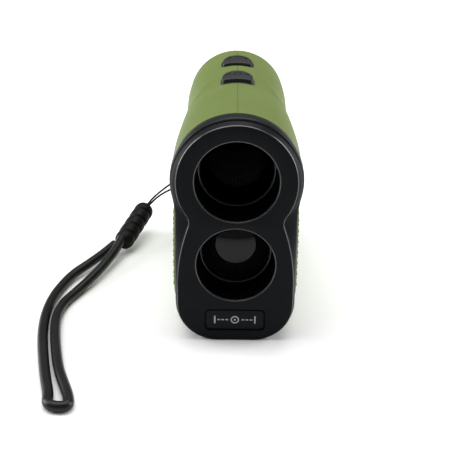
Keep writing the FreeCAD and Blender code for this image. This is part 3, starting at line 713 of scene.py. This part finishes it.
# ------------------------------------------------------------------ front bezel and collar
# One black moulding: a figure-of-eight face round two funnelled recesses, a sloping edge,
# a shadow gap and a spigot that enters the shells. The collar is a rounded band behind it.


def full_ring(depth, sizes, inset=0.0, base=0.0, corner=13.2):
    """Closed ring of places round the whole casing at a depth."""
    right = half_outline(*sizes, inset, base, corner)
    left = [(-x, z) for x, z in reversed(right[1:-1])]
    return [spot(x, depth, z) for x, z in right + left]


def circle_ring(radius, depth, axis_z, steps=96):
    ring = []
    for step in range(steps):
        turn = math.tau * step / steps
        ring.append((radius * MM * math.cos(turn), at_depth(depth), axis_z + radius * MM * math.sin(turn)))
    return ring


def rounded_rectangle(half_width, low, high, corner, depth):
    """Closed ring of places round an upright rectangle in the face."""
    middles = [
        (half_width - corner, low + corner, -90), (half_width - corner, high - corner, 0),
        (corner - half_width, high - corner, 90), (corner - half_width, low + corner, 180),
    ]
    ring = []
    for x, z, start in middles:
        points = arc_points((x, z), corner, math.radians(start), math.radians(start + 90), 8)
        points.append(
            (x + corner * math.cos(math.radians(start + 90)), z + corner * math.sin(math.radians(start + 90)))
        )
        ring += [spot(px, depth, pz) for px, pz in points]
    return ring


def fill_between(build, rings):
    """Flat face with holes: fills the space between closed rings of vertices."""
    edges = []
    for ring in rings:
        for first, second in zip(ring, ring[1:] + ring[:1]):
            edges.append(build.edges.get((first, second)) or build.edges.new((first, second)))
    bmesh.ops.triangle_fill(build, use_beauty=True, use_dissolve=False, edges=edges)


FACE = (19.5, 75.8, 15.35, 19.2)
SHOULDER = (20.85, 76.5, 19.2, 19.8)
NECK = (19.6, 75.3, 18.0, 18.6)
SPIGOT = (19.0, 74.5, 17.5, 17.7)


def between(first, second, share):
    return tuple(a + (b - a) * share for a, b in zip(first, second))


bezel_build = bmesh.new()
bezel_rings = [full_ring(depth, FACE, inset) for depth, inset in ((0.0, 0.6), (0.06, 0.3), (0.22, 0.1), (0.5, 0.0))]
for share in (0.2, 0.45, 0.7, 0.9):
    bezel_rings.append(full_ring(0.5 + 1.9 * share, between(FACE, SHOULDER, share ** 0.8)))
bezel_rings += [full_ring(2.45, SHOULDER), full_ring(2.75, SHOULDER, 0.08), full_ring(2.95, SHOULDER, 0.35)]
bezel_rings += [full_ring(3.0, NECK, 0.0, 1.2, 12.0), full_ring(3.6, NECK, 0.0, 1.2, 12.0)]
bezel_rings += [full_ring(3.6, SPIGOT, 0.0, 2.3, 11.0), full_ring(10.9, SPIGOT, 0.0, 2.3, 11.0)]
skin_rings = stacked(bezel_build, bezel_rings, cap_ends=False)
face_holes = [skin_rings[0]]
rear_holes = [skin_rings[-1]]
for mouth, throat, axis_z in ((13.45, 12.9, UPPER_AXIS), (12.85, 12.1, LOWER_AXIS)):
    bore = [circle_ring(mouth + 0.4, 0.0, axis_z), circle_ring(mouth + 0.16, 0.07, axis_z)]
    bore += [circle_ring(mouth + 0.03, 0.24, axis_z), circle_ring(mouth - 0.03, 0.5, axis_z)]
    bore += [circle_ring(mouth + (throat - mouth) * share, 11 * share, axis_z) for share in (0.3, 0.6, 0.99)]
    bore_rings = stacked(bezel_build, bore, cap_ends=False)
    face_holes.append(bore_rings[0])
    rear_holes.append(bore_rings[-1])
recess = [rounded_rectangle(10.25, 3.55, 11.85, 1.85, 0.0), rounded_rectangle(10.05, 3.75, 11.65, 1.65, 0.12)]
recess += [rounded_rectangle(10.0, 3.8, 11.6, 1.6, 0.3), rounded_rectangle(10.0, 3.8, 11.6, 1.6, 1.05)]
recess_rings = stacked(bezel_build, recess, cap_ends=False)
bezel_build.faces.new(recess_rings[-1])
face_holes.append(recess_rings[0])
fill_between(bezel_build, face_holes)
fill_between(bezel_build, rear_holes)
bezel_black = moulded(
    "bezel_black", (0.0040, 0.0050, 0.0060), (0.0031, 0.0039, 0.0048), 0.42, 5000, 0.000015, 0.08
)
# Inside the bores the same moulding is coloured darker than the face: painted shade in the recesses.
bore_painted_shade = moulded("bore_painted_shade", (0.0016, 0.0016, 0.0019), (0.001, 0.001, 0.0012), 0.7, 5000, 0.00002, 0.03)
# The rounded edges are coloured lighter and made glossier: a painted highlight line along the rim and round the bores.
edge_black = moulded("painted_highlight_edge_black", (0.026, 0.028, 0.03), (0.018, 0.02, 0.022), 0.28, 7000, 0.000004, 0.7)
BORES = [(UPPER_AXIS, 13.45), (LOWER_AXIS, 12.85)]


def bezel_finish(face):
    """Index of a bezel face's finish: 0 face and flanks, 1 inside a recess (painted shade), 2 a rounded edge (painted
    highlight).
    """
    centre = face.calc_center_median()
    depth = (centre.y - front_y) / MM
    for axis_z, mouth in BORES:
        reach_out = math.hypot(centre.x, centre.z - axis_z) / MM
        if reach_out < mouth + 0.45 and 0.4 < depth < 10.95:
            return 1
    if abs(centre.x) < 10.3 * MM and centre.z < 12 * MM and depth < 2:
        return 0
    rounded = depth < 0.4 or 2.45 < depth < 2.96
    return 2 if rounded and 0.2 < abs(face.normal.y) < 0.96 else 0


bmesh.ops.recalc_face_normals(bezel_build, faces=bezel_build.faces)
for face in bezel_build.faces:
    face.material_index = bezel_finish(face)
bezel = finish_mesh("bezel", bezel_build, bezel_black, "casing", "black_plastic", ["front_bezel"], 50)
bezel.data.materials.append(bore_painted_shade)
bezel.data.materials.append(edge_black)

COLLAR = (21.5, 77.1, 19.95, 20.0)
collar_build = bmesh.new()
collar_section = [
    (3.6, 2.4), (3.6, 1.1), (3.7, 0.7), (4.0, 0.3), (4.5, 0.06), (5.1, 0.0), (7.7, 0.0),
    (8.4, 0.08), (8.8, 0.25), (9.1, 0.5), (9.2, 0.8), (9.2, 2.4),
]
collar_rings = [full_ring(depth, COLLAR, inset) for depth, inset in collar_section]
collar_made = stacked(collar_build, collar_rings, cap_ends=False)
join_rings(collar_build, collar_made[-1], collar_made[0])
collar_black = moulded(
    "collar_black", (0.0055, 0.0063, 0.0072), (0.0042, 0.0049, 0.0057), 0.36, 5000, 0.00002, 0.15
)
finish_mesh("collar", collar_build, collar_black, "casing", "black_rubber", ["front_collar"], 50)

# ------------------------------------------------------------------ label plate
# A small plate bonded into the recess, printed in light grey with a plain range mark:
# a dashed line of sight between two end stops, with a ring and dot in the middle.

plate_build = bmesh.new()
plate_rings = [rounded_rectangle(9.45, 4.35, 11.05, 1.2, 0.3)]
plate_rings += [rounded_rectangle(9.62, 4.18, 11.22, 1.35, 0.36)]
plate_rings += [rounded_rectangle(9.7, 4.1, 11.3, 1.4, 0.5), rounded_rectangle(9.7, 4.1, 11.3, 1.4, 1.04)]
stacked(plate_build, plate_rings)
plate_black = moulded(
    "plate_black", (0.0040, 0.0047, 0.0055), (0.0032, 0.0038, 0.0045), 0.4, 6000, 0.00001, 0.1
)
finish_mesh("range_plate", plate_build, plate_black, "casing", "label_black", ["label_plate"], 50)

mark_build = bmesh.new()
MARK_LEVEL = 7.7
MARK_FRONT = 0.27


def printed_bar(x_low, x_high, z_low, z_high):
    """A flat printed rectangle just proud of the plate."""
    rings = []
    for depth in (MARK_FRONT, 0.32):
        corners = [(x_low, z_low), (x_high, z_low), (x_high, z_high), (x_low, z_high)]
        rings.append([spot(x, depth, z) for x, z in corners])
    stacked(mark_build, rings)


for end in (-1, 1):
    stop = end * 6.7
    printed_bar(stop - 0.25, stop + 0.25, MARK_LEVEL - 1.4, MARK_LEVEL + 1.4)
    for dash in range(3):
        centre = end * (2.7 + dash * 1.35)
        printed_bar(centre - 0.42, centre + 0.42, MARK_LEVEL - 0.2, MARK_LEVEL + 0.2)
ring_section = [(1.4, MARK_FRONT), (1.0, MARK_FRONT), (1.0, 0.32), (1.4, 0.32)]
turned(mark_build, ring_section, MARK_LEVEL * MM, steps=40)
turned(
    mark_build, [(0.0, MARK_FRONT), (0.35, MARK_FRONT), (0.35, 0.32), (0.0, 0.32)], MARK_LEVEL * MM, False, 24
)
print_grey = moulded("print_grey", (0.40, 0.42, 0.43), (0.33, 0.35, 0.36), 0.6, 9000, 0.000004, 0.2)
finish_mesh("range_mark", mark_build, print_grey, "casing", "label_black")

# ------------------------------------------------------------------ lenses, rings and cells
# Four lenses of coated glass. The two in front are held in black tubes by screwed rings.


def glass(name, colour, rough, specular, transmission=1.0, tint=(1, 1, 1)):
    material = bpy.data.materials.new(name)
    material.use_nodes = True
    shader = material.node_tree.nodes["Principled BSDF"]
    shader.inputs["Base Color"].default_value = (*colour, 1.0)
    shader.inputs["Roughness"].default_value = rough
    shader.inputs["IOR"].default_value = 1.5
    shader.inputs["Transmission Weight"].default_value = transmission
    shader.inputs["Specular IOR Level"].default_value = specular
    shader.inputs["Specular Tint"].default_value = (*tint, 1.0)
    smear = material.node_tree.nodes.new("ShaderNodeTexNoise")
    smear.inputs["Scale"].default_value = 150
    spread = material.node_tree.nodes.new("ShaderNodeMapRange")
    spread.inputs["To Min"].default_value = rough
    spread.inputs["To Max"].default_value = rough + 0.01
    where = material.node_tree.nodes.new("ShaderNodeTexCoord")
    wire(
        material.node_tree,
        (where, "Object", smear, "Vector"), (smear, "Fac", spread, "Value"),
        (spread, "Result", shader, "Roughness"),
    )
    return material


def lens_profile(radius, edge_front, edge_rear, front_bulge, rear_bulge, steps=16):
    """Half section of a lens: two domes and a ground edge; pairs of radius and depth."""
    points = []
    for step in range(steps + 1):
        share = step / steps
        points.append((radius * share, edge_front - front_bulge * (1 - share ** 2)))
    for step in range(steps + 1):
        share = 1 - step / steps
        points.append((radius * share, edge_rear + rear_bulge * (1 - share ** 2)))
    return points


purple_coat = glass("purple_coated_glass", (0.05, 0.03, 0.07), 0.02, 0.05, tint=(0.012, 0.006, 0.02))
clear_coat = glass(
    "receiver_glass", (0.006, 0.006, 0.006), 0.02, 0.5, transmission=0.3, tint=(0.42, 0.41, 0.42)
)
eye_coat = glass("eye_glass", (0.75, 0.85, 0.82), 0.02, 0.4, tint=(0.6, 0.9, 0.75))
# Names of piece and node, body, slot, material and axis, then the radius, the depths of the
# edge's front and rear, and the bulges beyond them.
LENSES = [
    ("upper_lens", "objective_lens", "casing", "coated_glass", purple_coat, UPPER_AXIS, (12.86, 12.6, 15.8, 1.6, 0.8)),
    ("lower_lens", "receiver_lens", "casing", "receiver_glass", clear_coat, LOWER_AXIS, (12.06, 12.4, 14.6, 3.0, 0.6)),
    ("eye_lens_glass", "eye_lens", "eye_carrier", "eye_glass", eye_coat, UPPER_AXIS, (8.88, 99.0, 101.4, 0.9, 0.8)),
    ("field_lens_glass", "field_lens", "eye_carrier", "eye_glass", eye_coat, UPPER_AXIS, (8.58, 85.6, 87.6, 0.4, 0.9)),
]
for lens_name, node, body, slot_name, coat, lens_axis, sizes in LENSES:
    lens_build = bmesh.new()
    turned(lens_build, lens_profile(*sizes), lens_axis, closed=False)
    finish_mesh(lens_name, lens_build, coat, body, slot_name, [node], 40)

anodised = moulded(
    "black_anodised", (0.05, 0.05, 0.055), (0.03, 0.03, 0.034), 0.26, 8000, 0.000004, 0.5, metallic=0.8
)
for ring_name, outer, inner, front, rear, axis_z in (
    ("objective_ring", 12.88, 12.0, 11.0, 12.38, UPPER_AXIS),
    ("receiver_ring", 12.08, 11.3, 11.0, 12.0, LOWER_AXIS),
):
    ring_build = bmesh.new()
    section = eased(
        [(outer, rear), (outer, front), (inner + 0.35, front), (inner, front + 0.4), (inner, rear)], 0.12
    )
    turned(ring_build, section, axis_z)
    finish_mesh(ring_name + "_turned", ring_build, anodised, "casing", "ring_metal", [ring_name], 50)

# The insides of both cells: stepped black walls that swallow stray light, and what sits at
# their far ends: a grey disc in front of the detector, a painted reflection of the floor seen in the lower lens, and
# the prism's front face.

baffle_black = moulded(
    "baffle_black", (0.0022, 0.0022, 0.0026), (0.0014, 0.0014, 0.0016), 0.6, 6000, 0.00002, 0.06
)
# Grey disc in the lower cell: painted reflection, standing in for the floor mirrored in the lower lens.
reflection_stand_in_grey = moulded("reflection_stand_in_grey", (0.16, 0.16, 0.16), (0.14, 0.14, 0.14), 0.5, 3000, 0.000004, 0.2)
reflection_disc_build = bmesh.new()
reflection_disc_section = eased([(0.0, 30.6), (5.0, 30.6), (5.5, 31.0), (5.5, 33.0), (0.0, 33.0)], 0.2, closed=False)
turned(reflection_disc_build, reflection_disc_section, LOWER_AXIS, closed=False)
finish_mesh("painted_reflection_disc", reflection_disc_build, reflection_stand_in_grey, "casing", "detector_grey")

# ------------------------------------------------------------------ keys
# Two soft rubber keys in the saddle behind the front hump, crowned to follow the casing.
# Each has a small lip at its foot and a raised mark, coloured darker as painted shade: a ring between two pointers to
# change mode, an arc over a dot to measure.

KEY_CROWN_TOP = 76.5
KEY_CROWN_RADIUS = 20.0
key_rubber = moulded(
    "key_rubber", (0.0125, 0.013, 0.0145), (0.0100, 0.0105, 0.0115), 0.45, 4500, 0.00002, 0.3
)


def crown_height(x, drawn):
    """Height of a key's crown at an x, lowered as the outline is drawn in towards its edge."""
    return KEY_CROWN_TOP - KEY_CROWN_RADIUS + math.sqrt(KEY_CROWN_RADIUS ** 2 - x ** 2) - drawn


def key_body(build, key_depth):
    """Flange under the shell, lip round the foot, rounded shoulder and crowned top of one key."""
    rings = []
    for grow, base in ((0.9, 70.6), (0.9, 71.3), (0.24, 71.3)):
        rings.append([spot(x, key_depth + y, base) for x, y in key_outline(grow)])
    sides = [(0.24, 1.75), (0.2, 1.6), (0.08, 1.5), (-0.1, 1.47), (-0.14, 1.35), (-0.14, 0.7)]
    sides += [(-0.2, 0.42), (-0.34, 0.2), (-0.56, 0.06), (-0.85, 0.0)]
    for grow, drawn in sides:
        ring = []
        for x, y in key_outline(grow):
            ring.append((x * MM, at_depth(key_depth + y), crown_height(x, drawn) * MM))
        rings.append(ring)
    for scale in (0.75, 0.6, 0.45, 0.3, 0.15):
        ring = []
        for x, y in key_outline(-0.85):
            ring.append((x * scale * MM, at_depth(key_depth + y * scale), crown_height(x * scale, 0.0) * MM))
        rings.append(ring)
    made = stacked(build, rings, cap_ends=False)
    build.faces.new(made[0])
    top = build.verts.new((0.0, at_depth(key_depth), KEY_CROWN_TOP * MM))
    join_rings(build, made[-1], [top])
    round_bar(build, 2.6, (0, key_depth, 70.43), "z", 0.34)


def raised_patch(build, points, key_depth, rise=0.22, sink=0.3):
    """Low relief with a convex outline on a key's crown; points are x, depth from the key's middle."""
    middle_x = sum(x for x, y in points) / len(points)
    middle_y = sum(y for x, y in points) / len(points)
    rings = []
    for scale, height in ((1.0, -sink), (1.0, rise * 0.6), (0.86, rise)):
        ring = []
        for x, y in points:
            x = middle_x + (x - middle_x) * scale
            y = middle_y + (y - middle_y) * scale
            ring.append((x * MM, at_depth(key_depth + y), (crown_height(x, 0.0) + height) * MM))
        rings.append(ring)
    stacked(build, rings)


def raised_arc(build, radius, width, start, end, key_depth, rise=0.22, middle_y=0.0, sink=0.3, steps=40):
    """Curved rib on a key's crown, round a point on its middle line."""
    profile = [(-0.5, -sink), (-0.5, rise * 0.55), (-0.28, rise)]
    profile += [(-across, height) for across, height in reversed(profile)]
    rings = []
    for step in range(steps + 1):
        turn = math.radians(start + (end - start) * step / steps)
        ring = []
        for across, height in profile:
            x = (radius + across * width) * math.cos(turn)
            y = middle_y + (radius + across * width) * math.sin(turn)
            ring.append((x * MM, at_depth(key_depth + y), (crown_height(x, 0.0) + height) * MM))
        rings.append(ring)
    stacked(build, rings)


# The raised marks are coloured darker than the key: painted shade standing in for the shadows of the relief.
mark_black = moulded(
    "key_mark_painted_shade", (0.0030, 0.0030, 0.0034), (0.002, 0.002, 0.0023), 0.3, 5000, 0.00001, 0.3
)
mode_build = bmesh.new()
key_body(mode_build, MODE_KEY)
body_faces = len(mode_build.faces)
for end in (-1, 1):
    pointer = [(end * 4.3, 0.9), (end * 2.5, 2.0), (end * 2.5, -0.2)]
    raised_patch(mode_build, pointer[::-end], MODE_KEY, 0.2)
raised_arc(mode_build, 1.2, 0.65, 0, 350, MODE_KEY, 0.2, middle_y=0.9)
for face in list(mode_build.faces)[body_faces:]:
    face.material_index = 1
mode_cap = finish_mesh("mode_key_cap", mode_build, key_rubber, "mode_key", "key_rubber", ["mode_key"], 50)
mode_cap.data.materials.append(mark_black)

measure_build = bmesh.new()
key_body(measure_build, MEASURE_KEY)
body_faces = len(measure_build.faces)
raised_arc(measure_build, 3.5, 0.7, 12, 168, MEASURE_KEY)
dot = [(0.62 * math.cos(math.tau * step / 24), 0.62 * math.sin(math.tau * step / 24)) for step in range(24)]
raised_patch(measure_build, dot, MEASURE_KEY)
for face in list(measure_build.faces)[body_faces:]:
    face.material_index = 1
measure_cap = finish_mesh(
    "measure_key_cap", measure_build, key_rubber, "measure_key", "key_rubber", ["measure_key"], 50
)
measure_cap.data.materials.append(mark_black)

# ------------------------------------------------------------------ eyepiece
# A black ribbed ring turns on the fixed tube and focuses the eye lens; a soft cup is pushed
# onto its rear. The ribs are laid round the ring by Geometry Nodes, and the same builder makes a new tree for the ribs
# of the cap.


def ribs_round(name, count, radius, axis_z, depth, size, material):
    """Round-nosed ribs laid in a circle about a Y-parallel axis, as a plain mesh in place."""
    inputs = {"Rib Count": "Int", "Circle Radius": "Float", "Rib Length": "Float", "Rib Radius": "Float"}
    tree, given, keys = instance_tree(name, inputs)
    circle = tree.nodes.new("GeometryNodeMeshCircle")
    rib = tree.nodes.new("GeometryNodeMeshCylinder")
    rib.inputs["Vertices"].default_value = 12
    lay = tree.nodes.new("GeometryNodeInstanceOnPoints")
    wire(
        tree,
        (given, "Rib Count", circle, "Vertices"), (given, "Circle Radius", circle, "Radius"),
        (given, "Rib Length", rib, "Depth"), (given, "Rib Radius", rib, "Radius"),
        (circle, "Mesh", lay, "Points"), (rib, "Mesh", lay, "Instance"),
    )
    spread = follow(tree, lay.outputs["Instances"], "GeometryNodeTransform")[0]
    spread.inputs["Translation"].default_value = (0.0, at_depth(depth), axis_z)
    spread.inputs["Rotation"].default_value = (math.pi / 2, 0.0, 0.0)
    end_tree(tree, spread.outputs["Geometry"], material)
    sizes = (count, radius * MM, size[0] * MM, size[1] * MM)
    holder = run_tree(link_mesh(name, bpy.data.meshes.new(name)), tree, dict(zip(keys.values(), sizes)))
    holder.data.set_sharp_from_angle(angle=math.radians(50))
    return holder


ring_build = bmesh.new()
ring_section = eased([(12.05, 98.4), (12.9, 98.4), (12.9, 104.0), (12.05, 104.0)], 0.25)
turned(ring_build, ring_section, UPPER_AXIS)
knob_black = moulded("knob_black", (0.016, 0.017, 0.018), (0.012, 0.0125, 0.0135), 0.42, 6000, 0.000015, 0.4)
finish_mesh("focus_ring", ring_build, knob_black, "diopter", "black_plastic", ["diopter_ring"], 50)
focus_ribs = ribs_round("focus_ribs", 36, 12.72, UPPER_AXIS, 101.2, (4.4, 0.45), knob_black)
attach(focus_ribs, "diopter")

cup_build = bmesh.new()
cup_section = [
    (10.95, 104.05), (13.1, 104.05), (13.2, 104.3), (13.2, 105.4), (12.75, 105.8), (12.75, 106.2),
    (13.1, 106.6), (13.3, 108.4), (13.38, 109.4), (13.2, 109.85), (12.75, 109.98), (12.3, 109.8),
    (12.0, 109.3), (11.4, 107.6), (10.95, 106.6),
]
turned(cup_build, eased(cup_section, 0.3, 3), UPPER_AXIS)
cup_rubber = moulded(
    "cup_rubber", (0.018, 0.018, 0.019), (0.013, 0.013, 0.014), 0.62, 5000, 0.00003, 0.3, sheen=0.3
)
finish_mesh("eye_cup_rubber", cup_build, cup_rubber, "diopter", "black_rubber", ["eyecup"], 50)

carrier_build = bmesh.new()
carrier_section = eased(
    [(8.05, 88.6), (8.05, 99.0), (8.92, 99.0), (8.92, 101.5), (9.3, 101.7), (9.3, 104.3),
     (9.5, 104.6), (10.2, 104.6), (10.34, 104.4), (10.34, 85.0), (8.62, 85.0), (8.62, 88.6)], 0.1, 2,
)
turned(carrier_build, carrier_section, UPPER_AXIS)
finish_mesh("eye_lens_barrel", carrier_build, anodised, "eye_carrier", "black_inner", ["lens_carrier"], 50)

# ------------------------------------------------------------------ battery cap
# A round screw cap under the eyepiece, with a ribbed edge and a slot for a coin.

cap_build = bmesh.new()
cap_section = eased(
    [(8.04, 91.0), (8.04, 95.4), (6.55, 95.4), (6.55, 97.2), (8.04, 97.2), (8.04, 98.35), (10.15, 98.35),
     (10.2, 100.9), (9.7, 101.35)], 0.2, 3, closed=False,
)
turned(cap_build, [(0.0, 91.0)] + cap_section + [(0.0, 101.35)], BATTERY_AXIS, closed=False)
battery_lid = drawn_mesh("battery_lid", cap_build)
slot_build = bmesh.new()
slot_rings = []
for slot_depth, half_long, half_wide in ((99.9, 7.6, 0.75), (101.0, 7.6, 0.75), (101.5, 7.95, 1.1)):
    corners = [(-half_long, -half_wide), (half_long, -half_wide)]
    corners += [(half_long, half_wide), (-half_long, half_wide)]
    slot_rings.append([(x * MM, at_depth(slot_depth), BATTERY_AXIS + z * MM) for x, z in corners])
stacked(slot_build, slot_rings)
slot_cutter = drawn_mesh("coin_slot", slot_build)
carved(battery_lid, slot_cutter)
bpy.data.objects.remove(slot_cutter)
finish(battery_lid, knob_black, "cap", "black_plastic", ["battery_cap"], 35)
lid_ribs = ribs_round("lid_ribs", 30, 10.1, BATTERY_AXIS, 99.7, (1.9, 0.4), knob_black)
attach(lid_ribs, "cap")

# ------------------------------------------------------------------ fixings and inner parts
# Steel screws and pin, the brass insert, and everything inside keep their imported shapes;
# each gets the finish of its own material, but the prisms and the display are opaque near-black glass: painted shade
# deep in the bore.

# Name, colour, darker colour, roughness, grain, depth, specular, metallic, nodes.
FINISHES = [
    ("screw_steel", (0.52, 0.52, 0.53), (0.40, 0.40, 0.41), 0.32, 9000, 0.000004, 0.5, 1.0,
     ["shell_screws", "strap_pin", "board_screws"]),
    ("machined_brass", (0.62, 0.44, 0.19), (0.50, 0.35, 0.14), 0.34, 7000, 0.000005, 0.5, 1.0,
     ["tripod_insert", "cap_contact", "laser_module"]),
    ("nickel_plate", (0.62, 0.60, 0.55), (0.52, 0.50, 0.46), 0.28, 9000, 0.000003, 0.5, 1.0,
     ["front_contact"]),
    ("solder_mask", (0.012, 0.11, 0.035), (0.009, 0.08, 0.026), 0.3, 4000, 0.000008, 0.5, 0.0,
     ["main_board", "key_board"]),
    ("switch_body", (0.02, 0.02, 0.02), (0.014, 0.014, 0.014), 0.35, 5000, 0.00001, 0.5, 0.0,
     ["mode_switch", "measure_switch"]),
    ("polyimide", (0.42, 0.15, 0.015), (0.33, 0.11, 0.01), 0.25, 3000, 0.000004, 0.5, 0.0, ["flex_cable"]),
    ("gasket_rubber", (0.06, 0.06, 0.065), (0.045, 0.045, 0.05), 0.7, 3500, 0.00002, 0.3, 0.0,
     ["key_gasket"]),
    ("seal_rubber", (0.01, 0.01, 0.01), (0.007, 0.007, 0.007), 0.4, 4000, 0.00001, 0.5, 0.0, ["cap_seal"]),
    ("cell_wrap", (0.02, 0.05, 0.16), (0.016, 0.04, 0.13), 0.25, 3000, 0.000004, 0.5, 0.0, ["battery"]),
    ("detector_can", (0.09, 0.09, 0.09), (0.07, 0.07, 0.07), 0.4, 5000, 0.00001, 0.5, 0.0, ["detector"]),
]
# Opaque near-black glass for the prisms and display: painted shade, so the depth of the upper bore reads dark.
prism_painted_shade = glass("prism_glass", (0.006, 0.007, 0.007), 0.02, 0.3, transmission=0.0)
finishes = [
    (prism_painted_shade, ["front_prism", "rear_prism", "display"]),
    (baffle_black, ["objective_cell", "receiver_cell", "prism_holder"]),
    (baffle_black, ["eyepiece_tube", "chassis", "battery_tube"]),
]
for name, colour, darker, roughness, grain, depth, specular, metallic, node_names in FINISHES:
    finishes.append((moulded(name, colour, darker, roughness, grain, depth, specular, metallic), node_names))
for material, node_names in finishes:
    for node_name in node_names:
        for holder in bpy.data.objects[node_name].material_slots:
            holder.material = material
